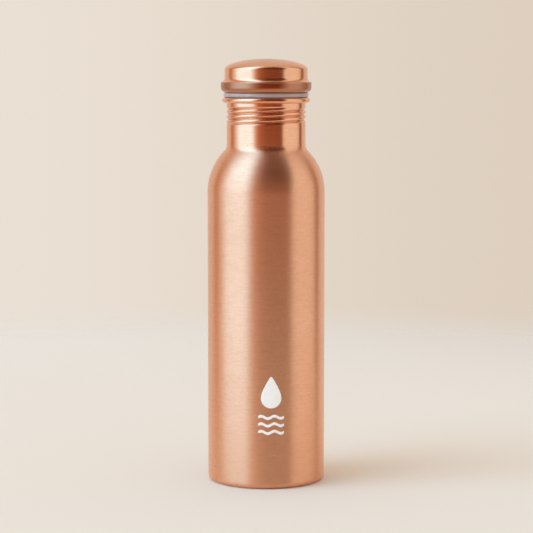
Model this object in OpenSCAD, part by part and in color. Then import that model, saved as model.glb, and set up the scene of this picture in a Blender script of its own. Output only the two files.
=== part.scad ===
// Copper water bottle with a screw-in cap.
// Sheet copper is drawn and spun to shape, so every metal piece is one sheet of even thickness,
// described by the path that its outer face follows in the half plane (radius, height).
// Millimetres, +Z up, origin on the table at the centre of the foot.

/* [Body] */
// Outside diameter of the straight wall
body_d = 72; // [66:0.5:80]
// Height of the straight wall's top edge above the table
wall_h = 178.5; // [120:0.5:240]
// Thickness of the copper sheet
sheet_t = 0.6; // [0.5:0.05:0.8]
// Outside radius of the corner at the foot
foot_r = 3.5; // [2.5:0.1:5]
// Width of the foot, from the outside of the wall to the edge of the turned-in flange
foot_w = 6.5; // [5.5:0.1:9]

/* [Neck] */
// Outside diameter of the neck
neck_d = 48.5; // [44:0.5:54]
// Radius of the fillet between shoulder and neck
neck_fillet = 6; // [4:0.25:9]
// Length of the neck, from the fillet to the middle of the curled lip
neck_len = 27; // [24:0.5:34]
// Outside radius of the curled lip's cross-section
curl_r = 1.66; // [1.4:0.02:2]
// How far round the lip's sheet is curled, in degrees
curl_turn = 290; // [240:5:295]

/* [Thread] */
// Distance between neighbouring grooves along the axis
thread_pitch = 3.1; // [2.8:0.1:3.4]
// Number of grooves that start side by side
thread_starts = 2; // [1:1:3]
// Depth of the rolled grooves
thread_depth = 0.9; // [0.6:0.05:1]
// Length of the neck that carries the grooves
thread_len = 11.5; // [9:0.5:13]
// Plain neck between the grooves and the middle of the lip
thread_top_gap = 3.5; // [3:0.1:4.5]
// Radial gap between the neck's thread and the plug's thread
thread_gap = 0.35; // [0.3:0.01:0.45]

/* [Cap] */
// Diameter of the cap's smooth drum
drum_d = 50.9; // [48:0.1:54]
// Height of the drum and knurled rim together, without the dome
drum_h = 14; // [12.5:0.1:18]
// Rise of the domed top above the drum
dome_h = 6.5; // [4:0.1:9]
// Outside diameter of the knurled rim
rim_d = 55.5; // [54.5:0.1:58]
// Height of the knurled rim
rim_h = 6.55; // [5.8:0.05:7]
// Radius of the fillet between drum and rim
ledge_fillet = 3; // [2.5:0.1:3.2]
// Outside radius of the corner under the knurled rim
rim_r = 2.7; // [2.2:0.1:3]
// Depth of the closed plug below the rim's underside
plug_len = 23.5; // [22.5:0.1:26]

/* [Seal] */
// Thickness of the seal ring between lip and cap
seal_h = 3; // [2.4:0.05:3.6]
// Outside diameter of the seal ring
seal_d = 52.2; // [51.5:0.1:53.5]

/* [Base] */
// Rise of the dished base above the flange that it rests on, at its middle
dish_h = 3; // [1.5:0.1:6]
// Height of the base's upturned rim
base_rim_h = 7.5; // [5:0.1:10]

/* [Hidden] */

RING_FN = 96;       // steps of a turned ring in the viewer
ARC_STEP = 7.5;     // degrees between the points of a rounded outline
TUBE_SIDES = 40;    // sides of the threaded tubes
ROWS_PER_PITCH = 8; // rows of the threaded tubes for each groove
NARROW = 1.6;       // how much narrower a groove is than the ridge beside it
SKIN = 0.01;        // keeps a tube's end ring just inside the sheet that it joins
CONTACT = 0.02;     // clearance of the seal above the lip

COPPER = [0.80, 0.47, 0.33];
COPPER_POLISHED = [0.87, 0.55, 0.41];
BRAZE = [0.80, 0.74, 0.58];
SILICONE = [0.66, 0.62, 0.63];

body_r = body_d / 2;
neck_r = neck_d / 2;
shoulder_rise = sqrt(pow(body_r + neck_fillet, 2) - pow(neck_r + neck_fillet, 2));
neck_z = wall_h + shoulder_rise;
lip_z = neck_z + neck_len;
lip_r = neck_r - sheet_t + curl_r;
seal_z = lip_z + curl_r;
rim_z = seal_z + seal_h;
rim_top_z = rim_z + rim_h;
drum_top_z = rim_z + drum_h;
thread_top_z = lip_z - thread_top_gap;
thread_low_z = thread_top_z - thread_len;
groove_z = thread_low_z + 3.15; // height of a groove's middle on the +X side
fade_len = thread_pitch / 2;   // distance over which a groove runs out
plug_r = neck_r - sheet_t - thread_gap;
plug_z = rim_z - plug_len;
nose_r = plug_r - thread_depth;
collar_bend = 1;               // radius between the plug's collar and its flange
nose_bend = 2;                 // radius round the plug's closed end
rim_corner = 0.65;             // radius of the rim's top corner
flare = 58;                    // turn of the fillet before it meets the rim's top
rim_hole_r = plug_r + 1.2;     // edge of the rim's rolled-in underside
nest = sheet_t + 0.03;         // step from the dome's outside to the plug nested in it
flange_r = body_r - foot_w;
seat_z = sheet_t;              // the base rests on the turned-in flange
base_r = body_r - sheet_t;
base_bend = foot_r - sheet_t + 0.3;
dish_r = flange_r - 3.5;       // where the base's dished middle starts to fall
crown_h = 0.8;                 // extra rise of the dish's own middle

// Points of an arc about c, from angle a0 to a1 in degrees
function arc(c, r, a0, a1) =
    let (n = max(2, ceil(abs(a1 - a0) / ARC_STEP)))
    [for (i = [0:n]) let (a = a0 + (a1 - a0) * i / n) c + r * [cos(a), sin(a)]];

// Points of a quarter of an ellipse about [0, z], from the axis out to radius a
function crown(z, a, b) =
    let (n = 24)
    [for (i = [0:n]) let (t = 90 - 90 * i / n) [i == 0 ? 0 : a * cos(t), z + b * sin(t)]];

function smooth(x) = let (c = max(0, min(1, x))) c * c * (3 - 2 * c);
function unit(v) = v / norm(v);
function left_of(v) = [-v.y, v.x];
function reversed(list) = [for (i = [len(list) - 1:-1:0]) list[i]];

// The path moved sideways by d, to its left when d is positive
function beside(path, d) =
    [for (i = [0:len(path) - 1])
        let (
            a = unit(i > 0 ? path[i] - path[i - 1] : path[1] - path[0]),
            b = unit(i < len(path) - 1 ? path[i + 1] - path[i] : path[i] - path[i - 1]),
            n = unit(left_of(a) + left_of(b)),
            q = path[i] + n * d / (n * left_of(a)))
        [max(q.x, 0), q.y]];

// Sheet whose outer face follows the path, with its thickness to the path's left
module turned_sheet(path, t = sheet_t)
    rotate_extrude($fn = RING_FN)
        polygon(concat(path, reversed(beside(path, t))));

// How much of the groove's depth is pressed in at height z and angle a, from 0 to 1.
// A nosed thread keeps its grooves open at the low end, where its crests taper away instead.
function pressed(z, a, low, high, nosed) =
    let (
        wave = pow(0.5 + 0.5 * cos(360 * (z - groove_z) / thread_pitch - thread_starts * a), NARROW),
        rise = smooth((z - low) / fade_len),
        fall = smooth((high - z) / fade_len))
    (nosed ? 1 - (1 - wave) * rise : wave * rise) * fall;

// Tube of sheet with rolled helical grooves: outer radius r, grooves between low and high
module threaded_tube(r, low, high, nosed = false) {
    n = TUBE_SIDES;
    rows = ceil((high - low) / thread_pitch * ROWS_PER_PITCH);
    fit = 1 / cos(180 / n);
    function face(outer) =
        [for (j = [0:rows], i = [0:n - 1])
            let (
                z = low + (high - low) * j / rows,
                a = 360 * i / n,
                face_r = r - thread_depth * pressed(z, a, low, high, nosed),
                q = outer ? face_r - SKIN : (face_r - sheet_t + SKIN) * fit)
            [q * cos(a), q * sin(a), z]];
    m = n * (rows + 1);
    function at(j, i) = j * n + i % n;
    polyhedron(
        points = concat(face(true), face(false)),
        faces = concat(
            [for (j = [0:rows - 1], i = [0:n - 1]) [at(j, i), at(j + 1, i), at(j + 1, i + 1)]],
            [for (j = [0:rows - 1], i = [0:n - 1]) [at(j, i), at(j + 1, i + 1), at(j, i + 1)]],
            [for (j = [0:rows - 1], i = [0:n - 1]) [m + at(j, i), m + at(j + 1, i + 1), m + at(j + 1, i)]],
            [for (j = [0:rows - 1], i = [0:n - 1]) [m + at(j, i), m + at(j, i + 1), m + at(j + 1, i + 1)]],
            [for (i = [0:n - 1]) [at(0, i), at(0, i + 1), m + at(0, i + 1)]],
            [for (i = [0:n - 1]) [at(0, i), m + at(0, i + 1), m + at(0, i)]],
            [for (i = [0:n - 1]) [at(rows, i), m + at(rows, i + 1), at(rows, i + 1)]],
            [for (i = [0:n - 1]) [at(rows, i), m + at(rows, i), m + at(rows, i + 1)]]));
}

// One drawn shell: foot flange, wall, shoulder, threaded neck and curled lip
module bottle_shell() {
    shoulder_end = atan2(shoulder_rise, neck_r + neck_fillet);
    lower = concat(
        [[flange_r, 0]],
        arc([body_r - foot_r, foot_r], foot_r, -90, 0),
        arc([0, wall_h], body_r, 0, shoulder_end),
        arc([neck_r + neck_fillet, neck_z], neck_fillet, 180 + shoulder_end, 180),
        [[neck_r, thread_low_z]]);
    upper = concat(
        [[neck_r, thread_top_z]],
        arc([lip_r, lip_z], curl_r - sheet_t, 180, 180 - curl_turn));
    color(COPPER) union() {
        turned_sheet(lower);
        threaded_tube(neck_r, thread_low_z, thread_top_z);
        turned_sheet(upper);
    }
}

// Dished disc with an upturned rim, closing the shell above the flange
module base_plate() {
    steps = 12;
    dish = [for (i = [0:steps])
        let (s = i / steps)
        [dish_r * s, seat_z + dish_h - crown_h * s * s]];
    fall = [for (i = [1:steps])
        let (s = i / steps, top = seat_z + dish_h - crown_h)
        [dish_r + (flange_r + 1 - dish_r) * s, top + (seat_z - top) * smooth(s)]];
    color(COPPER)
        turned_sheet(concat(
            dish,
            fall,
            arc([base_r - base_bend, seat_z + base_bend], base_bend, -90, 0),
            [[base_r, seat_z + base_rim_h]]));
}

// Bead of brazing alloy over the base's rim, sealing it to the wall
module base_braze() {
    top = seat_z + base_rim_h;
    inside = base_r - sheet_t;
    color(BRAZE)
        rotate_extrude($fn = RING_FN)
            polygon(concat(
                [[base_r, top], [base_r, top + 1.5], [base_r - 0.15, top + 1.5]],
                arc([inside - 0.5, top + 1.6], 1.05, -15, -60),
                [[inside - 0.6, top], [inside - 0.55, top - 0.4], [inside, top - 1]],
                [[inside, top]]));
}

// Domed top, drum, and the knurled rim, whose lower edge is rolled in under the plug's flange
module cap_dome() {
    drum_r = drum_d / 2;
    rim_r_out = rim_d / 2;
    color(COPPER_POLISHED)
        turned_sheet(concat(
            crown(drum_top_z, drum_r, dome_h),
            arc([drum_r + ledge_fillet, rim_top_z + ledge_fillet * sin(flare)], ledge_fillet, 180, 180 + flare),
            arc([rim_r_out - rim_corner, rim_top_z - rim_corner], rim_corner, 90, 0),
            arc([rim_r_out - rim_r, rim_z + rim_r], rim_r, 0, -90),
            [[rim_hole_r, rim_z]]), -sheet_t);
}

// Closed plug with the male thread; its flange turns up inside the rim as far as the ledge
module cap_plug() {
    thread_low = plug_z + nose_bend;
    thread_high = thread_top_z + fade_len + 0.3;
    nose = concat(
        [[0, plug_z]],
        arc([nose_r - nose_bend, plug_z + nose_bend], nose_bend, -90, 0));
    collar = concat(
        [[plug_r, thread_high]],
        arc([plug_r + collar_bend, rim_z + nest - collar_bend], collar_bend, 180, 90),
        arc([rim_d / 2 - rim_r, rim_z + rim_r], rim_r - nest, -90, 0),
        [[rim_d / 2 - nest, rim_top_z - nest]]);
    color(COPPER_POLISHED) union() {
        turned_sheet(nose);
        threaded_tube(plug_r, thread_low, thread_high, nosed = true);
        turned_sheet(collar);
    }
}

// Silicone ring that the cap squeezes against the lip
module cap_seal() {
    inner = plug_r + 0.5;
    outer = seal_d / 2;
    edge = seal_h / 2 - 0.2;
    color(SILICONE)
        rotate_extrude($fn = RING_FN)
            polygon(concat(
                [[inner, seal_z + CONTACT]],
                arc([outer - edge, seal_z + CONTACT + edge], edge, -90, 0),
                arc([outer - edge, rim_z - edge], edge, 0, 90),
                [[inner, rim_z]]));
}

bottle_shell();
base_plate();
base_braze();
cap_dome();
cap_plug();
cap_seal();
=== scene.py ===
# %% [markdown]
# # A copper water bottle with a screw cap
# Six pieces of metal and silicone make this bottle, and nearly all of them are sheet copper, 0.6 mm
# thick. A sheet that is spun on a lathe is described by one line: the path that its outer face
# follows from the axis outwards. Thickness, thread and knurl are then added to that path.
# Everything here is in metres, in the frame of the solid model: +Z up, origin under the foot.

# %% The frame
import math

import bpy
import numpy as np
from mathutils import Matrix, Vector


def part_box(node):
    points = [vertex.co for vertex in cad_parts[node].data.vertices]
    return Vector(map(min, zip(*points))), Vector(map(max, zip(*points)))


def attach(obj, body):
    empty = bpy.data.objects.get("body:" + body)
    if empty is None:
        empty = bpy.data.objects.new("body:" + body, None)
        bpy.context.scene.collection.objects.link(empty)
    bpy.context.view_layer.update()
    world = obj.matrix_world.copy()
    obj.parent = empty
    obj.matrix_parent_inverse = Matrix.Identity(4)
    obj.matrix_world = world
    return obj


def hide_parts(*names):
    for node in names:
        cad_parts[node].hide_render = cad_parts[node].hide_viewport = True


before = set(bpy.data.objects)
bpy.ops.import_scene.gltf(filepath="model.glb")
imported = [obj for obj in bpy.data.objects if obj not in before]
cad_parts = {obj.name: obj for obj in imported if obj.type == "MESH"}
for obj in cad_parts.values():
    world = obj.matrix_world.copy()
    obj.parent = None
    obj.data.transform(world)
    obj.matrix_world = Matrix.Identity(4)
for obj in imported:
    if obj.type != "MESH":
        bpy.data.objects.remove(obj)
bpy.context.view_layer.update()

MM = 0.001

# %% [markdown]
# ## Sizes
# Outside sizes are read from the solids' boxes, so this file can't drift away from them. What a box
# doesn't show, such as the neck's radius or the sheet's thickness, is stated here once.

# %% Sizes
shell_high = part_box("bottle_shell")[1]
plate_low, plate_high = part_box("base_plate")
bead_low, bead_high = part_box("base_braze")
dome_low, dome_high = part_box("cap_dome")
plug_low, plug_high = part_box("cap_plug")
ring_low, ring_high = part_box("cap_seal")

SHEET = 0.6 * MM
BODY_R = shell_high.x
FOOT_R = 3.5 * MM
FOOT_W = 6.5 * MM
NECK_R = 24.25 * MM
NECK_FILLET = 6 * MM
NECK_TALL = 27 * MM
CURL_R = 1.66 * MM
CURL_TURN = 290  # degrees

LIP_Z = shell_high.z - CURL_R
LIP_R = NECK_R - SHEET + CURL_R
NECK_Z = LIP_Z - NECK_TALL
SHOULDER_RISE = math.sqrt((BODY_R + NECK_FILLET) ** 2 - (NECK_R + NECK_FILLET) ** 2)
WALL_Z = NECK_Z - SHOULDER_RISE
NEST_GAP, THREAD_GAP = 0.03 * MM, 0.35 * MM
NEST = SHEET + NEST_GAP
PLUG_R = NECK_R - SHEET - THREAD_GAP
RIM_R = dome_high.x
RIM_Z = dome_low.z
RIM_TOP = plug_high.z + NEST
DRUM_R = 25.45 * MM
DOME_RISE = 6.5 * MM
DRUM_TOP = dome_high.z - DOME_RISE
ROUND = 256  # steps round the axis for a piece whose relief is no finer than the thread
print("wall ends at", round(WALL_Z / MM, 2), "mm, lip at", round(LIP_Z / MM, 2), "mm")

# %% [markdown]
# ## Paths
# A path is a list of (radius, height) points. `arc` bends it, `line` fills a straight run with
# points, and `sheet_loop` gives it thickness: it walks along the outer face, rounds off the two
# corners of the cut edge, and comes back along the inner face. The last number that a line or an
# arc takes is its step: a length for a line, degrees for an arc.

# %% Paths
SAME = 1e-7  # points closer than this are one point
GUARD = 0.05 * MM  # how close to its ends a straight run puts its two extra points
ON_AXIS = 0.01 * MM  # radii below this are set to 0, so that the sheet closes on the axis


def arc(centre, radius, start, end, step=5.0):
    """Points of an arc in the half plane, with angles in degrees."""
    n = max(2, math.ceil(abs(end - start) / step))
    angles = np.radians(np.linspace(start, end, n + 1))
    return [(centre[0] + radius * math.cos(a), centre[1] + radius * math.sin(a)) for a in angles]


def line(p, q, step):
    """Points from p to q, both ends included, and one point close to each end."""
    n = max(1, math.ceil(math.dist(p, q) / step))
    guard = min(0.1, GUARD / math.dist(p, q))
    places = sorted({*np.linspace(0, 1, n + 1), guard, 1 - guard})
    return [(p[0] + (q[0] - p[0]) * t, p[1] + (q[1] - p[1]) * t) for t in places]


def joined(*runs):
    """Runs of points laid end to end, with repeated points left out."""
    path = []
    for run in runs:
        for p in run:
            if not path or math.dist(p, path[-1]) > SAME:
                path.append(p)
    return path


def side_normals(path):
    """Unit normals to the left of the path at each point, as an array."""
    p = np.array(path)
    ahead = np.vstack([p[1:] - p[:-1], p[-1:] - p[-2:-1]])
    behind = np.vstack([p[1:2] - p[:1], p[1:] - p[:-1]])
    ahead /= np.linalg.norm(ahead, axis=1, keepdims=True)
    behind /= np.linalg.norm(behind, axis=1, keepdims=True)
    mean = ahead + behind
    mean /= np.linalg.norm(mean, axis=1, keepdims=True)
    stretch = (mean * ahead).sum(1, keepdims=True)
    return np.column_stack([-mean[:, 1], mean[:, 0]]) / stretch


PLAIN, THREAD, KNURL, BEAD = 0, 1, 2, 3  # which relief is pressed into a stretch of a path


def edge_points(p, q, outwards, corner=0.13 * MM, steps=3):
    """Points round a cut edge from p to q, with its two corners slightly rounded."""
    p, q, outwards = np.array(p), np.array(q), np.array(outwards)
    across = (q - p) / np.linalg.norm(q - p)
    turns = np.linspace(0, math.pi / 2, steps + 1)[1:]
    first = [p + outwards * corner * math.sin(t) + across * corner * (1 - math.cos(t))
             for t in turns]
    last = [q + outwards * corner * math.sin(t) - across * corner * (1 - math.cos(t))
            for t in turns[::-1]]
    return [(x, z, PLAIN) for x, z in first + last]


def sheet_loop(runs, thickness=SHEET, cut=(True, True), thinned=1):
    """Closed outline of a sheet, thick to the left of the runs. A run is (points, outer tag,
    inner tag); a tag says which relief is pressed into that stretch. cut says whether the sheet's
    first and last edges are real cut edges, which get rounded corners; the inner face keeps one
    point in every thinned."""
    outer, inner = [], []
    for points, outer_tag, inner_tag in runs:
        face = np.array(points)
        back = face + side_normals(points) * thickness
        back[:, 0] = np.where(back[:, 0] < ON_AXIS, 0, back[:, 0])
        for side, pts, tag in ((outer, face, outer_tag), (inner, back, inner_tag)):
            for r, z in pts:
                if not side or math.dist((r, z), side[-1][:2]) > SAME:
                    side.append((r, z, tag))
    inner = inner[:-1:thinned] + inner[-1:]
    loop = list(outer)
    if cut[1]:
        ahead = np.subtract(outer[-1][:2], outer[-2][:2])
        loop += edge_points(outer[-1][:2], inner[-1][:2], ahead / np.linalg.norm(ahead))
    loop += inner[::-1]
    if cut[0] and outer[0][0] > ON_AXIS:
        back = np.subtract(outer[0][:2], outer[1][:2])
        loop += edge_points(inner[0][:2], outer[0][:2], back / np.linalg.norm(back))
    return loop


print("a quarter bend has", len(arc((0, 0), 1, 0, 90)), "points")

# %% [markdown]
# ## Spinning a mesh
# Blender's Screw modifier could spin a profile too, but thread and knurl change the radius with the
# angle, so the mesh is computed here in one step: a grid of loop points by angles. The depth of the
# relief is kept on every vertex as an attribute named recess, for the finishes to use.

# %% Spinning
SHARP_ANGLE = math.radians(42)  # edges sharper than this are shaded as edges


def spin(name, loop, around, relief=None):
    """Mesh object of a closed outline turned round +Z. relief(tags, r, z, angle) is pressed inwards."""
    r, z, tags = (np.array(column, float) for column in zip(*loop))
    area = (r * np.roll(z, -1) - np.roll(r, -1) * z).sum()
    if area < 0:
        r, z, tags = r[::-1], z[::-1], tags[::-1]
    angle = np.linspace(0, 2 * math.pi, around, endpoint=False)[:, None]
    depth = np.zeros((around, len(r)))
    if relief:
        depth = depth + relief(tags[None, :], r[None, :], z[None, :], angle)
    radius = r[None, :] - depth
    grid = np.stack([radius * np.cos(angle), radius * np.sin(angle),
                     np.broadcast_to(z, radius.shape)], -1)
    pole = r < SAME
    index = np.zeros((around, len(r)), int)
    points, recess, count = [], [], 0
    for j in range(len(r)):
        if pole[j]:
            index[:, j] = count
            points.append([[0, 0, z[j]]])
            recess.append([0])
            count += 1
        else:
            index[:, j] = count + np.arange(around)
            points.append(grid[:, j])
            recess.append(depth[:, j])
            count += around
    faces = []
    for j in range(len(r)):
        k = (j + 1) % len(r)
        a, b = index[:, j], index[:, k]
        a2, b2 = np.roll(a, -1), np.roll(b, -1)
        if pole[j] and pole[k]:
            continue
        if pole[j]:
            faces += np.column_stack([a, b2, b]).tolist()
        elif pole[k]:
            faces += np.column_stack([a, a2, b]).tolist()
        else:
            faces += np.column_stack([a, a2, b2, b]).tolist()
    mesh = bpy.data.meshes.new(name)
    mesh.from_pydata(np.vstack(points).tolist(), [], faces)
    mesh.attributes.new("recess", "FLOAT", "POINT").data.foreach_set(
        "value", np.concatenate(recess).astype(np.float32))
    mesh.shade_smooth()
    mesh.set_sharp_from_angle(angle=SHARP_ANGLE)
    piece = bpy.data.objects.new(name, mesh)
    bpy.context.scene.collection.objects.link(piece)
    print(name, len(mesh.vertices), "vertices, recess up to",
          round(float(depth.max()) / MM, 2), "mm")
    return piece


def smooth(x):
    """0 to 1 with no corner at either end."""
    x = np.clip(x, 0, 1)
    return x * x * (3 - 2 * x)


def place(piece, body, slot, *nodes):
    """Fix a finished piece to its body and hide the solids that it stands for."""
    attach(piece, body)
    if nodes:
        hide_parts(*nodes)

# %% [markdown]
# ## The rolled thread
# On a sheet-metal neck a thread is not cut: a roller presses the sheet inwards along a helix, and
# what stays out is the ridge. The same formula shapes the neck and the cap's plug, so they nest.
# Two grooves start side by side, 3.1 mm apart, so one turn lifts the cap by 6.2 mm.

# %% The rolled thread
PITCH, STARTS, PRESSED = 3.1 * MM, 2, 0.9 * MM
NARROW = 1.6  # makes a groove narrower than the ridge beside it
THREAD_TOP = LIP_Z - 3.5 * MM
THREAD_LOW = THREAD_TOP - 11.5 * MM
GROOVE_Z = THREAD_LOW + 3.15 * MM  # a groove's middle, on the +X side
FADE = PITCH / 2  # over this height a groove runs out
THREAD_STEP = 0.16 * MM


def thread_depth(z, angle, low, high, nosed=False):
    """How deep the roller has pressed at a height and an angle. A nosed thread starts at full
    depth at its low end, so that the cup's narrower nose runs on into its grooves."""
    wave = (0.5 + 0.5 * np.cos(2 * math.pi * (z - GROOVE_Z) / PITCH - STARTS * angle)) ** NARROW
    rise, fall = smooth((z - low) / FADE), smooth((high - z) / FADE)
    return PRESSED * (1 - (1 - wave) * rise if nosed else wave * rise) * fall


print("thread from", round(THREAD_LOW / MM, 1), "to", round(THREAD_TOP / MM, 1), "mm")

# %% [markdown]
# ## The bottle shell
# One sheet runs from the flange under the foot, round the foot's corner, up the wall, over the
# shoulder, up the neck and round the curled lip. The curl stays open underneath, as a real one does.

# %% The bottle shell
def shell_relief(tags, r, z, angle):
    return np.where(tags == THREAD, thread_depth(z, angle, THREAD_LOW, THREAD_TOP), 0)


shoulder_end = math.degrees(math.atan2(SHOULDER_RISE, NECK_R + NECK_FILLET))
foot_start = (BODY_R - FOOT_W, 0.0)
shell_runs = [
    (joined(line(foot_start, (BODY_R - FOOT_R, 0.0), 1 * MM),
            arc((BODY_R - FOOT_R, FOOT_R), FOOT_R, -90, 0, 5),
            line((BODY_R, FOOT_R), (BODY_R, WALL_Z), 30 * MM),
            arc((0, WALL_Z), BODY_R, 0, shoulder_end, 2.5),
            arc((NECK_R + NECK_FILLET, NECK_Z), NECK_FILLET, 180 + shoulder_end, 180, 5),
            line((NECK_R, NECK_Z), (NECK_R, THREAD_LOW), 5 * MM)), PLAIN, PLAIN),
    (line((NECK_R, THREAD_LOW), (NECK_R, THREAD_TOP), THREAD_STEP), THREAD, THREAD),
    (joined(line((NECK_R, THREAD_TOP), (NECK_R, LIP_Z), 2 * MM),
            arc((LIP_R, LIP_Z), CURL_R - SHEET, 180, 180 - CURL_TURN, 8)), PLAIN, PLAIN),
]
shell = spin("shell_sheet", sheet_loop(shell_runs), ROUND, shell_relief)
place(shell, "bottle", "copper_satin", "bottle_shell")

# %% [markdown]
# ## The base
# The base is a pressed disc: a shallow dish in the middle for stiffness, a flat ring that rests on
# the foot's flange, and an upturned rim. A bead of brazing alloy seals the rim to the wall; it is
# laid by hand, so its surface ripples a little.

# %% The base
SEAT_Z = plate_low.z
PLATE_R = plate_high.x
PLATE_BEND = FOOT_R - SHEET + 0.3 * MM
DISH_R = BODY_R - FOOT_W - 3.5 * MM
DISH_RISE, CROWN_RISE = 3 * MM, 0.8 * MM
FALL_W = FOOT_W - 2 * MM  # how wide the dish's slope is
BASE_ROUND, BEAD_ROUND = 192, 360

dish = [(DISH_R * s, SEAT_Z + DISH_RISE - CROWN_RISE * s * s) for s in np.linspace(0, 1, 30)]
dish_edge = SEAT_Z + DISH_RISE - CROWN_RISE
fall = [(DISH_R + FALL_W * s, dish_edge + (SEAT_Z - dish_edge) * smooth(s))
        for s in np.linspace(0, 1, 24)]
plate_runs = [(joined(dish, fall,
                      arc((PLATE_R - PLATE_BEND, SEAT_Z + PLATE_BEND), PLATE_BEND, -90, 0),
                      line((PLATE_R, SEAT_Z + PLATE_BEND), (PLATE_R, plate_high.z), 1 * MM)),
               PLAIN, PLAIN)]
base = spin("base_disc", sheet_loop(plate_runs), BASE_ROUND)
place(base, "bottle", "copper_satin", "base_plate")


RIPPLE = 0.12 * MM


def bead_relief(tags, r, z, angle):
    """Waves of three lengths, as a hand leaves them."""
    ripple = 0.5 + 0.3 * np.sin(61 * angle + 1.7 * np.sin(7 * angle)) + 0.2 * np.sin(23 * angle)
    return np.where(tags == BEAD, RIPPLE * ripple, 0)


inside = PLATE_R - SHEET
bead_face = joined([(PLATE_R - 0.15 * MM, bead_high.z)],
                   arc((inside - 0.5 * MM, bead_high.z + 0.1 * MM), 1.05 * MM, -15, -60, 6),
                   [(inside - 0.6 * MM, plate_high.z), (inside - 0.55 * MM, plate_high.z - 0.4 * MM)])
bead_loop = ([(PLATE_R, plate_high.z, PLAIN), (PLATE_R, bead_high.z, PLAIN)]
             + [(r, z, BEAD if 0 < i else PLAIN) for i, (r, z) in enumerate(bead_face)]
             + [(inside, bead_low.z, PLAIN), (inside, plate_high.z, PLAIN)])
bead = spin("braze_bead", bead_loop, BEAD_ROUND, bead_relief)
place(bead, "bottle", "braze", "base_braze")

# %% [markdown]
# ## The cap's dome
# The top is half an ellipse, which blends a tight corner into a nearly flat crown. Below the drum
# the same sheet flares out to a ledge, turns down as the rim that the fingers grip, and is rolled
# in at the bottom. The rim is knurled, and needs nearly four times as many steps round as the drum,
# so it is a mesh of its own; the two meet on the ledge, where both surfaces are flat.

# %% The cap's dome
FILLET_R, FLARE = 3 * MM, 58  # the flare under the drum: its radius, and its turn in degrees
RIM_CORNER = 0.65 * MM
RIM_BEND_W, RIM_BEND_H = 2.7 * MM, 3.2 * MM
RIM_HOLE_R = PLUG_R + 1.2 * MM
fillet_z = RIM_TOP + FILLET_R * math.sin(math.radians(FLARE))
ledge_start = DRUM_R + FILLET_R * (1 - math.cos(math.radians(FLARE)))
SPLIT_R = (ledge_start + RIM_R - RIM_CORNER) / 2

crown = [(DRUM_R * math.cos(t), DRUM_TOP + DOME_RISE * math.sin(t))
         for t in np.linspace(math.pi / 2, 0, 72)]
crown[0] = (0.0, dome_high.z)
dome_runs = [(joined(crown,
                     line((DRUM_R, DRUM_TOP), (DRUM_R, fillet_z), 0.5 * MM),
                     arc((DRUM_R + FILLET_R, fillet_z), FILLET_R, 180, 180 + FLARE, 3),
                     [(SPLIT_R, RIM_TOP)]), PLAIN, PLAIN)]
dome = spin("cap_dome_sheet", sheet_loop(dome_runs, -SHEET, (False, False)), ROUND)
place(dome, "cap", "copper_polished", "cap_dome")

# %% [markdown]
# ## The knurled rim
# The knurl is two sets of slanted V grooves that cross; the second set is shallower, as on a worn
# wheel. It fades out below the rim's upper corner and towards the lower bend, out of the wheel's
# reach.

# %% The knurled rim
TEETH, TOOTH_DEPTH = 124, 0.10 * MM
TOOTH_PITCH = 2 * math.pi * RIM_R / TEETH
STEPS_PER_TOOTH, KNURL_STEP = 8, 0.12 * MM
SECOND_SET = 0.6  # depth of the second set of grooves, against the first
BEND_POINTS, UNDERSIDE = 30, 7  # the rim's lower bend, and where along it the knurl may begin
INSIDE_KEEPS = 4  # the rim's inner face needs only every fourth point


def zigzag(x):
    """1 at whole numbers, 0 halfway between them, straight in between."""
    return np.abs(x - np.floor(x) - 0.5) * 2


def rim_relief(tags, r, z, angle):
    """Two crossing sets of slanted V grooves."""
    turn = TEETH * angle / (2 * math.pi)
    rise = (z - RIM_Z) / TOOTH_PITCH
    cut = np.maximum(1 - zigzag(turn + rise), SECOND_SET * (1 - zigzag(turn - rise)))
    fade_low = smooth((z - RIM_Z - 0.4 * MM) / (1.2 * MM))
    fade_high = smooth((RIM_TOP - RIM_CORNER - z) / (0.2 * MM))
    return np.where(tags == KNURL, TOOTH_DEPTH * cut * fade_low * fade_high, 0)


def bend(shrink):
    """The rim's lower bend, from below outwards, moved inwards by shrink."""
    wide, tall = RIM_BEND_W - shrink, RIM_BEND_H - shrink
    return [(RIM_R - RIM_BEND_W + wide * math.sin(t), RIM_Z + RIM_BEND_H - tall * math.cos(t))
            for t in np.linspace(0, math.pi / 2, BEND_POINTS)]


rim_top_corner = (RIM_R - RIM_CORNER, RIM_TOP - RIM_CORNER)
rim_runs = [
    (joined(line((RIM_HOLE_R, RIM_Z), (RIM_R - RIM_BEND_W, RIM_Z), 0.3 * MM),
            bend(0)[:UNDERSIDE + 1]), PLAIN, PLAIN),
    (joined(bend(0)[UNDERSIDE:],
            line((RIM_R, RIM_Z + RIM_BEND_H), (RIM_R, rim_top_corner[1]), KNURL_STEP)), KNURL, PLAIN),
    (joined(arc(rim_top_corner, RIM_CORNER, 0, 90, 9), [(SPLIT_R, RIM_TOP)]), PLAIN, PLAIN),
]
rim = spin("knurled_rim", sheet_loop(rim_runs, SHEET, (True, False), INSIDE_KEEPS),
           TEETH * STEPS_PER_TOOTH, rim_relief)
place(rim, "cap", "copper_polished", "cap_dome")

# %% [markdown]
# ## The cap's plug
# The plug is a closed cup with the male thread. Its flange turns up inside the rim as far as the
# ledge, so the rolled-in rim traps it, with no rivet or solder.

# %% The cap's plug
NOSE_R = PLUG_R - PRESSED
NOSE_BEND, COLLAR_BEND = 2 * MM, 1 * MM
PLUG_LOW = plug_low.z + NOSE_BEND
PLUG_HIGH = THREAD_TOP + FADE + 0.3 * MM


def plug_relief(tags, r, z, angle):
    return np.where(tags == THREAD, thread_depth(z, angle, PLUG_LOW, PLUG_HIGH, True), 0)


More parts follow.
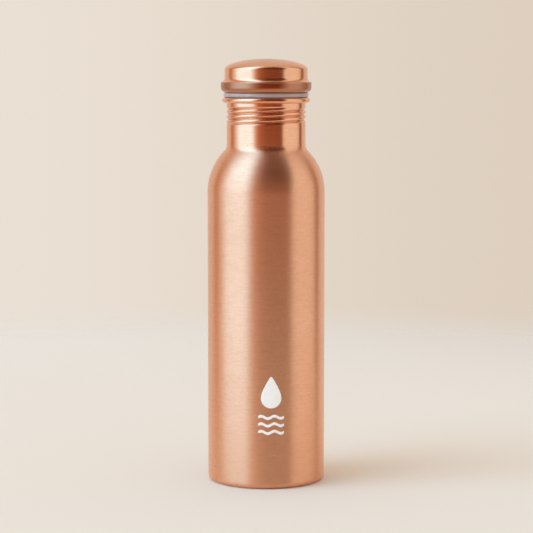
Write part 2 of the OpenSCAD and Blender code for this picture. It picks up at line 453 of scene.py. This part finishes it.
nose = joined(line((0.0, plug_low.z), (NOSE_R - NOSE_BEND, plug_low.z), 5 * MM),
              arc((NOSE_R - NOSE_BEND, PLUG_LOW), NOSE_BEND, -90, 0))
flange_z = RIM_Z + NEST
plug_runs = [
    (nose, PLAIN, PLAIN),
    (line((PLUG_R, PLUG_LOW), (PLUG_R, PLUG_HIGH), THREAD_STEP)[2:], THREAD, THREAD),
    (joined(line((PLUG_R, PLUG_HIGH), (PLUG_R, flange_z - COLLAR_BEND), 2 * MM),
            arc((PLUG_R + COLLAR_BEND, flange_z - COLLAR_BEND), COLLAR_BEND, 180, 90),
            bend(NEST), [(RIM_R - NEST, plug_high.z - 0.13 * MM)]), PLAIN, PLAIN),
]
plug = spin("plug_cup", sheet_loop(plug_runs), ROUND, plug_relief)
place(plug, "cap", "copper_polished", "cap_plug")

# %% [markdown]
# ## The seal
# The ring is moulded in two halves, which leaves a fine line of flash round the middle of its edge.

# %% The seal
SEAL_OUT, FLASH, CHAMFER = ring_high.x, 0.07 * MM, 0.15 * MM
seal_inner = PLUG_R + 0.5 * MM
seal_low, seal_top = ring_low.z, ring_high.z
seal_mid = (seal_low + seal_top) / 2
edge = (seal_top - seal_low) / 2 - 0.2 * MM
flash = [(SEAL_OUT, seal_mid - 0.12 * MM), (SEAL_OUT + FLASH, seal_mid - 0.04 * MM),
         (SEAL_OUT + FLASH, seal_mid + 0.04 * MM), (SEAL_OUT, seal_mid + 0.12 * MM)]
seal_path = joined([(seal_inner, seal_low + CHAMFER), (seal_inner + CHAMFER, seal_low)],
                   arc((SEAL_OUT - edge, seal_low + edge), edge, -90, 0, 6), flash,
                   arc((SEAL_OUT - edge, seal_top - edge), edge, 0, 90, 6),
                   [(seal_inner + CHAMFER, seal_top), (seal_inner, seal_top - CHAMFER)])
seal = spin("seal_ring", [(r, z, PLAIN) for r, z in seal_path], ROUND)
place(seal, "seal", "silicone", "cap_seal")

# %% [markdown]
# ## The printed sign
# A generic water drop over three wavy lines, screen-printed in white. Ink has a thickness too, about
# 0.05 mm, so each shape is a thin closed shell bent round the wall. Every shape is built from
# columns: at each place across, it has one lowest and one highest point.

# %% The printed sign
INK = 0.05 * MM
SIGN_X = 3 * MM
SIGN_Z = 50 * MM
COLUMN = 0.1 * MM
SUNK = 0.01 * MM  # the ink starts this far inside the copper's face
DROP_W, DROP_TALL = 12.5 * MM, 19 * MM
WAVE_W, WAVE_THICK, WAVE_SWING = 16 * MM, 1.7 * MM, 0.75 * MM
WAVE_DROP, WAVE_GAP = 5.5 * MM, 4.6 * MM
TIP, HOLLOW, CHEEK = 0.8, 0.35, 0.62  # how sharp the drop's tip is, how it turns in, how round it is
TRIM = 0.9995  # keeps the outermost columns from having no height at all
LEAST = 0.005 * MM  # half thickness of a wave at its very ends


def ink_shape(across, low, high):
    """Vertices and faces of one shape; across, low and high are arrays in metres."""
    points, faces = [], []
    n = len(across)
    for radius in (BODY_R - SUNK, BODY_R + INK):
        for heights in (low, high):
            turn = across / BODY_R - math.pi / 2
            points += list(zip(radius * np.cos(turn), radius * np.sin(turn), heights))

    def at(layer, i):
        return layer * n + i

    for i in range(n - 1):
        faces += [(at(2, i), at(2, i + 1), at(3, i + 1), at(3, i)),
                  (at(0, i), at(1, i), at(1, i + 1), at(0, i + 1)),
                  (at(0, i), at(0, i + 1), at(2, i + 1), at(2, i)),
                  (at(1, i), at(3, i), at(3, i + 1), at(1, i + 1))]
    faces += [(at(0, 0), at(2, 0), at(3, 0), at(1, 0)),
              (at(0, n - 1), at(1, n - 1), at(3, n - 1), at(2, n - 1))]
    return points, faces


def drop_columns(centre_x, base_z, width, height):
    """A drop: round below, and drawn up to a point by a curve that turns in."""
    half = width / 2
    x = np.linspace(-half, half, int(width / COLUMN)) * TRIM
    s = np.abs(x) / half
    low = base_z + half * (1 - np.sqrt(1 - s ** 2))
    point = (height - half) * (1 - s) ** TIP * (1 - HOLLOW * s)
    cheek = half * CHEEK * np.sqrt(np.maximum(s * (1 - s ** 2), 0))
    high = base_z + half + point + cheek
    return x + centre_x, low, high


def wave_columns(centre_x, middle_z, width, thick):
    """A wavy line of even thickness with rounded ends."""
    x = np.linspace(-width / 2, width / 2, int(width / COLUMN))
    wave = middle_z + WAVE_SWING * np.sin(2 * math.pi * x / (width / 2))
    end = np.clip((width / 2 - np.abs(x)) / (thick / 2), 0, 1)
    half = thick / 2 * np.sqrt(1 - (1 - end) ** 2) + LEAST
    return x + centre_x, wave - half, wave + half


points, faces = [], []
shapes = [drop_columns(SIGN_X, SIGN_Z, DROP_W, DROP_TALL)]
shapes += [wave_columns(SIGN_X, SIGN_Z - WAVE_DROP - WAVE_GAP * k, WAVE_W, WAVE_THICK)
           for k in range(3)]
for shape in shapes:
    more, quads = ink_shape(*shape)
    faces += [tuple(i + len(points) for i in quad) for quad in quads]
    points += more
sign_mesh = bpy.data.meshes.new("printed_sign")
sign_mesh.from_pydata([tuple(map(float, p)) for p in points], [], faces)
sign = bpy.data.objects.new("printed_sign", sign_mesh)
bpy.context.scene.collection.objects.link(sign)
place(sign, "bottle", "print_ink")
print("the sign has", len(faces), "faces")

# %% [markdown]
# ## Writing shader maths
# A shader is a graph of nodes, but its maths reads best as an expression. `Value` wraps one socket
# and turns + - * into Math nodes, and `Bench` makes every other node with a single method.

# %% Writing shader maths
class Value:
    """One output socket that can be used in sums."""
    def __init__(self, bench, socket):
        self.bench, self.socket = bench, socket

    def __add__(self, other):
        return self.bench.math("ADD", self, other)

    def __sub__(self, other):
        return self.bench.math("SUBTRACT", self, other)

    def __mul__(self, other):
        return self.bench.math("MULTIPLY", self, other)

    def __radd__(self, other):
        return self.bench.math("ADD", other, self)

    def __rsub__(self, other):
        return self.bench.math("SUBTRACT", other, self)

    def __neg__(self):
        return self.bench.math("MULTIPLY", self, -1)


class Bench:
    """A node tree being built."""
    def __init__(self, tree):
        self.tree = tree
        tree.nodes.clear()

    def node(self, kind, settings=None, inputs=None, out=0):
        """Any node: its settings, what its inputs are given, and which output to use."""
        made = self.tree.nodes.new(kind)
        for key, setting in (settings or {}).items():
            setattr(made, key, setting)
        for key, given in (inputs or {}).items():
            if isinstance(given, Value):
                self.tree.links.new(given.socket, made.inputs[key])
            else:
                made.inputs[key].default_value = given
        return Value(self, made.outputs[out] if made.outputs else None)

    def math(self, operation, *values):
        return self.node("ShaderNodeMath", {"operation": operation}, dict(enumerate(values)))

    def fade(self, value, start, end, low=0.0, high=1.0):
        """Smooth step of a value from start to end."""
        return self.node("ShaderNodeMapRange", {"interpolation_type": "SMOOTHSTEP"},
                         {0: value, 1: start, 2: end, 3: low, 4: high})

    def mix(self, mask, first, second):
        """Colours mixed by a mask. The node's colours are its inputs 6 and 7 and its output 2."""
        return self.node("ShaderNodeMix", {"data_type": "RGBA"},
                         {0: mask, 6: first, 7: second}, out=2)

    def noise(self, place_on, scale, detail=3.0, roughness=0.5):
        return self.node("ShaderNodeTexNoise", None,
                         {"Vector": place_on, "Scale": scale, "Detail": detail,
                          "Roughness": roughness})

    def stretched(self, place_on, x, y, z):
        return self.node("ShaderNodeVectorMath", {"operation": "MULTIPLY"},
                         {0: place_on, 1: (x, y, z)})

    def here(self):
        """The point being shaded, in the piece's own frame (the node's output 3)."""
        return self.node("ShaderNodeTexCoord", out=3)

    def split(self, vector):
        """The x, y and z of a vector."""
        parts = self.node("ShaderNodeSeparateXYZ", None, {0: vector}).socket.node
        return [Value(self, socket) for socket in parts.outputs]

    def bump(self, strength, distance, height):
        return self.node("ShaderNodeBump", None,
                         {"Strength": strength, "Distance": distance, "Height": height})


def finish(name, build, **fixed):
    """A material: build(bench) gives what varies, and fixed sets the shader's own sockets."""
    material = bpy.data.materials.new(name)
    material.use_nodes = True
    bench = Bench(material.node_tree)
    shader = bench.node("ShaderNodeBsdfPrincipled", None, {**fixed, **build(bench)})
    bench.node("ShaderNodeOutputMaterial", None, {"Surface": shader})
    print(name, "has", len(material.node_tree.nodes), "nodes")
    return material


print("a Value adds, subtracts and multiplies; a Bench holds one node tree")

# %% [markdown]
# ## Copper
# Spun copper carries fine marks that run round the axis, left by the lathe's polishing pad. They
# are noise that changes slowly round the bottle and quickly along its outline; z minus radius
# works as that outline's length on wall, shoulder and dome alike. Four noises share the work:
# coarse and fine marks go far round, rubs are shorter, and specks are nearly round. The marks
# stretch reflections upright, which the shader's anisotropy gives. Colour drifts a little between
# pink and orange. Recesses are painted darker, as painted shade with some tarnish; on the knurled
# rim even the teeth's tips are darkened, and the grooves between them most of all.
# The neck is turned last and polished more, so it mirrors the room more sharply than the wall.

# %% Copper
def rgb(r, g, b):
    return (r, g, b, 1.0)


COPPER = rgb(0.93, 0.49, 0.30)
COPPER_WARM = rgb(0.88, 0.44, 0.255)
COPPER_RED = rgb(0.84, 0.40, 0.22)
# Painted shade, with some tarnish: the colour that recesses are darkened towards.
COPPER_SHADE_AND_TARNISH = rgb(0.42, 0.17, 0.09)
COARSE, FINE, RUBS, SPECKS = (4, 4, 1500), (30, 30, 4200), (150, 150, 900), (500, 500, 1100)
POLISH_LOW, POLISH_HIGH = NECK_Z - 6 * MM, NECK_Z + 3 * MM  # where the neck's finer polish sets in
POLISH_MARKS = 0.4  # the marks' height on the neck, against the wall


def copper(rough, mark, recess_full, darkening, starts=0.35, neck_rough=None):
    """rough: roughness of the wall; mark: strength of the marks; recess_full: depth of a full
    recess; darkening and starts: how dark the painted shade, with some tarnish, gets in recesses,
    and at which share of their depth it begins."""
    def build(bench):
        place_on = bench.here()
        x, y, z = bench.split(place_on)
        radius = bench.math("SQRT", x * x + y * y)
        along = z - radius
        lane = bench.node("ShaderNodeCombineXYZ", None, {0: x, 1: y, 2: along})
        coarse = bench.noise(bench.stretched(lane, *COARSE), 1.0, 3.0, 0.6)
        fine = bench.noise(bench.stretched(lane, *FINE), 1.0, 3.0, 0.6)
        rubs = bench.noise(bench.stretched(lane, *RUBS), 1.0, 4.0, 0.6)
        specks = bench.noise(bench.stretched(lane, *SPECKS), 1.0, 3.0, 0.6)
        cloud = bench.noise(place_on, 14.0, 3.0)
        recess = bench.node("ShaderNodeAttribute", {"attribute_name": "recess"}, None, 2)
        # Painted shade with some tarnish: deeper recesses get darker; a start below zero darkens even
        # the tips.
        shade_and_tarnish = bench.fade(recess, starts * recess_full, (starts + 0.8) * recess_full)
        tone = bench.mix(bench.fade(cloud, 0.35, 0.7), COPPER, COPPER_WARM)
        tone = bench.mix(bench.fade(coarse, 0.35, 0.65, 0.0, 0.5), tone, COPPER_WARM)
        tone = bench.mix(bench.fade(rubs, 0.42, 0.68, 0.0, 0.45), tone, COPPER_RED)
        tone = bench.mix(bench.fade(specks, 0.45, 0.7, 0.0, 0.45), tone, COPPER_RED)
        tone = bench.mix(shade_and_tarnish * darkening, tone, COPPER_SHADE_AND_TARNISH)
        lines = (coarse - 0.5) * 0.16 + (fine - 0.5) * 0.18
        lines = lines + (rubs - 0.5) * 0.14 + (specks - 0.5) * 0.14
        level, height = rough, fine + coarse * 2.0 + rubs * 1.5
        if neck_rough is not None:
            level = bench.fade(z, POLISH_LOW, POLISH_HIGH, rough, neck_rough)
            height = height * bench.fade(z, POLISH_LOW, POLISH_HIGH, 1.0, POLISH_MARKS)
        roughness = bench.math("MAXIMUM", level + lines * level * 3 + shade_and_tarnish * 0.06, 0.03)
        return {"Base Color": tone, "Roughness": roughness,
                "Normal": bench.bump(mark, 0.05 * MM, height)}
    return build


ACROSS = 0.25  # a quarter turn, so that reflections stretch across the marks
copper_satin = finish("copper_satin", copper(0.35, 0.5, PRESSED, 0.45, 0.35, 0.20),
                      **{"Metallic": 1.0, "Anisotropic": 0.93, "Anisotropic Rotation": ACROSS})
copper_polished = finish("copper_polished", copper(0.20, 0.3, PRESSED, 0.45),
                         **{"Metallic": 1.0, "Anisotropic": 0.85, "Anisotropic Rotation": ACROSS})
# The knurled rim carries the strongest painted shade, with some tarnish, over the whole piece.
copper_knurled = finish("copper_knurled", copper(0.15, 0.3, TOOTH_DEPTH, 0.9, -0.4), Metallic=1.0)

# %% [markdown]
# ## Silicone, brazing alloy and ink
# Silicone has a soft sheen and a faint dusty bloom. Brazing alloy is a dull, pale gold with a
# grainy skin. Screen-printing ink is white with a slightly uneven, satin surface.

# %% Silicone, brazing alloy and ink
def silicone_build(bench):
    place_on = bench.here()
    bloom = bench.noise(place_on, 260.0, 4.0)
    speck = bench.noise(place_on, 2600.0, 2.0)
    tone = bench.mix(bench.fade(bloom, 0.4, 0.7), rgb(0.40, 0.31, 0.30), rgb(0.46, 0.365, 0.355))
    return {"Base Color": tone, "Roughness": 0.24 + bloom * 0.14,
            "Normal": bench.bump(0.25, 0.03 * MM, speck)}


def braze_build(bench):
    place_on = bench.here()
    grain = bench.noise(place_on, 900.0, 4.0, 0.6)
    stain = bench.noise(place_on, 90.0, 3.0)
    tone = bench.mix(bench.fade(stain, 0.4, 0.7), rgb(0.62, 0.52, 0.30), rgb(0.36, 0.22, 0.12))
    return {"Base Color": tone, "Roughness": 0.3 + grain * 0.35,
            "Normal": bench.bump(0.4, 0.1 * MM, grain)}


def ink_build(bench):
    place_on = bench.here()
    grain = bench.noise(place_on, 1800.0, 2.0)
    cover = bench.noise(place_on, 300.0, 2.0)
    tone = bench.mix(bench.fade(cover, 0.3, 0.7), rgb(0.95, 0.945, 0.93), rgb(0.98, 0.975, 0.96))
    return {"Base Color": tone, "Roughness": 0.40 + grain * 0.12,
            "Normal": bench.bump(0.15, 0.02 * MM, grain)}


silicone = finish("silicone", silicone_build,
                  **{"Specular IOR Level": 0.75, "Coat Weight": 0.6, "Coat Roughness": 0.3})
braze = finish("braze", braze_build, Metallic=1.0)
white_ink = finish("white_ink", ink_build)

for piece, surface in ((shell, copper_satin), (base, copper_satin), (bead, braze),
                       (dome, copper_polished), (plug, copper_polished), (rim, copper_knurled),
                       (seal, silicone), (sign, white_ink)):
    piece.data.materials.append(surface)

# %% [markdown]
# ## The floor
# A pale floor that fades out with distance, so that it runs into the background with no edge.

# %% The floor
FLOOR_R, FADE_START, FADE_END = 1.5, 0.25, 0.9


def disc(name, radius, around=96):
    turn = np.linspace(0, 2 * math.pi, around, endpoint=False)
    points = [(radius * math.cos(t), radius * math.sin(t), 0.0) for t in turn]
    mesh = bpy.data.meshes.new(name)
    mesh.from_pydata(points, [], [tuple(range(around))])
    made = bpy.data.objects.new(name, mesh)
    bpy.context.scene.collection.objects.link(made)
    return made


floor = disc("floor", FLOOR_R)
floor_paint = bpy.data.materials.new("floor_paint")
floor_paint.use_nodes = True
bench = Bench(floor_paint.node_tree)
away = bench.node("ShaderNodeVectorMath", {"operation": "LENGTH"}, {0: bench.here()}, 1)
paint = bench.node("ShaderNodeBsdfDiffuse", None, {"Color": rgb(0.86, 0.82, 0.765)})
clear = bench.node("ShaderNodeBsdfTransparent")
surface = bench.node("ShaderNodeMixShader", None,
                     {0: bench.fade(away, FADE_START, FADE_END), 1: paint, 2: clear})
bench.node("ShaderNodeOutputMaterial", None, {"Surface": surface})
floor.data.materials.append(floor_paint)
print("the floor is solid to", FADE_START, "m and gone at", FADE_END, "m")

# %% [markdown]
# ## The studio
# A polished cylinder shows the whole room, squeezed into upright bands: a point's reflection looks
# twice as far round as the point itself. So the room is described by its bands: a tall soft light to
# the left of the camera, the dim side of the room behind the camera, pale card elsewhere, and a thin
# gap on each side where the card ends. The dim side is warm low down, and it widens to the right
# overhead, where the shoulder looks. A band is (start, end, softness at the start, softness at the
# end), in degrees round from the camera, positive to its right. Only reflections see the bands:
# matte surfaces are lit by a softer version of the same room, and the camera itself sees a cream
# backdrop with painted light on it: lighter on the left, towards the lamp, and darker on the right.

# %% The studio
CARD_BAND = (48, 104, 5, 14)
GAP_LEFT_BAND, GAP_RIGHT_BAND = (-125, -109, 4, 4), (112, 126, 4, 4)
LAMP_BAND = (-93, -37, 14, 10)
WIDENING = 0.45  # degrees that the dim side's edge moves for each degree of height
# Painted light: the backdrop's colour on its lit left side and its darker right side.
BACKDROP_LEFT, BACKDROP_RIGHT = rgb(0.825, 0.745, 0.655), rgb(0.73, 0.624, 0.521)
TO_DEGREES = 180 / math.pi

world = bpy.data.worlds.new("studio")
bpy.context.scene.world = world
world.use_nodes = True
bench = Bench(world.node_tree)
east, north, up = bench.split(bench.node("ShaderNodeTexCoord"))
azimuth = bench.math("ARCTAN2", east, -north) * TO_DEGREES
height = bench.math("ARCSINE", up) * TO_DEGREES


def band(value, start, end, soft_start, soft_end):
    """1 between start and end, fading over soft degrees at each side."""
    rise = bench.fade(value, start - soft_start, start + soft_start)
    drop = bench.fade(value, end - soft_end, end + soft_end)
    return rise * (1 - drop)


WALL = rgb(0.76, 0.69, 0.62)
CARD = rgb(0.94, 0.97, 0.98)
GAP_LEFT, GAP_RIGHT = rgb(0.56, 0.33, 0.23), rgb(0.32, 0.18, 0.12)
LAMP, LAMP_HIGH = rgb(1.25, 2.04, 2.90), rgb(1.33, 2.58, 3.95)
DIM_LEFT, DIM_RIGHT, DIM_LOW = rgb(0.46, 0.21, 0.13), rgb(0.11, 0.052, 0.038), rgb(0.76, 0.18, 0.02)
SOFT_WALL, SOFT_LAMP = rgb(0.80, 0.69, 0.585), rgb(1.70, 1.80, 1.85)

lift = bench.math("MAXIMUM", height, 0) * WIDENING
room = bench.mix(band(azimuth, *CARD_BAND), WALL, CARD)
room = bench.mix(band(azimuth, *GAP_LEFT_BAND), room, GAP_LEFT)
room = bench.mix(band(azimuth, *GAP_RIGHT_BAND), room, GAP_RIGHT)
lamp = band(azimuth, *LAMP_BAND) * bench.fade(height, -20, -5)
room = bench.mix(lamp, room, bench.mix(bench.fade(height, 5, 50), LAMP, LAMP_HIGH))
dim = bench.mix(bench.fade(azimuth, -35, 8), DIM_LEFT, DIM_RIGHT)
dim = bench.mix(bench.fade(height, -3, -12), dim, DIM_LOW)
dim_mask = bench.fade(azimuth, -37, -19) * (1 - bench.fade(azimuth - lift, 43, 53)) \
    * bench.fade(height, 88, 70) * bench.fade(height, -42, -24)
room = bench.mix(dim_mask, room, dim)
# Painted light: the backdrop is lighter on the left, towards the lamp, and darker on the right.
backdrop = bench.mix(bench.fade(east, -0.15, 0.15), BACKDROP_LEFT, BACKDROP_RIGHT)
camera_ray = bench.node("ShaderNodeLightPath", out=0)
diffuse_ray = bench.node("ShaderNodeLightPath", out=2)
soft = bench.mix(lamp, SOFT_WALL, SOFT_LAMP)
colour = bench.mix(camera_ray, bench.mix(diffuse_ray, room, soft), backdrop)
sky = bench.node("ShaderNodeBackground", None, {"Color": colour, "Strength": 1.0})
bench.node("ShaderNodeOutputWorld", None, {"Surface": sky})
print("the studio has", len(world.node_tree.nodes), "nodes")

# %% [markdown]
# ## Key light
# The tall soft light is also a real lamp, so that the bottle throws a soft shadow to the right. It
# is left out of reflections, because the studio's band already shows it there.

# %% Key light
def aim(thing, target):
    thing.rotation_mode = "QUATERNION"
    thing.rotation_quaternion = (Vector(target) - thing.location).to_track_quat("-Z", "Y")


lamp_data = bpy.data.lights.new("key_light", "AREA")
lamp_data.shape, lamp_data.size, lamp_data.size_y = "RECTANGLE", 0.7, 0.9
lamp_data.energy, lamp_data.color = 3.0, (0.9, 1.0, 1.05)
key = bpy.data.objects.new("key_light", lamp_data)
key.location = (-1.5, -0.55, 1.25)
key.visible_glossy = False
key.visible_camera = False
aim(key, (0, 0, 0.1))
bpy.context.scene.collection.objects.link(key)
print("key light of", lamp_data.energy, "W")

# %% [markdown]
# ## Camera
# A long lens from a little above the middle of the bottle keeps its sides nearly parallel.

# %% Camera
TILT = 6.04  # degrees below level
lens = bpy.data.cameras.new("camera")
lens.lens, lens.sensor_width = 135, 36
lens.clip_start, lens.clip_end = 0.05, 50
camera = bpy.data.objects.new("camera", lens)
camera.location = (0.0002, -1.226, 0.262)
camera.rotation_euler = (math.radians(90 - TILT), 0, 0)
bpy.context.scene.collection.objects.link(camera)
bpy.context.scene.camera = camera
bpy.context.scene.view_settings.view_transform = "Standard"
print("camera at", tuple(round(c, 3) for c in camera.location))
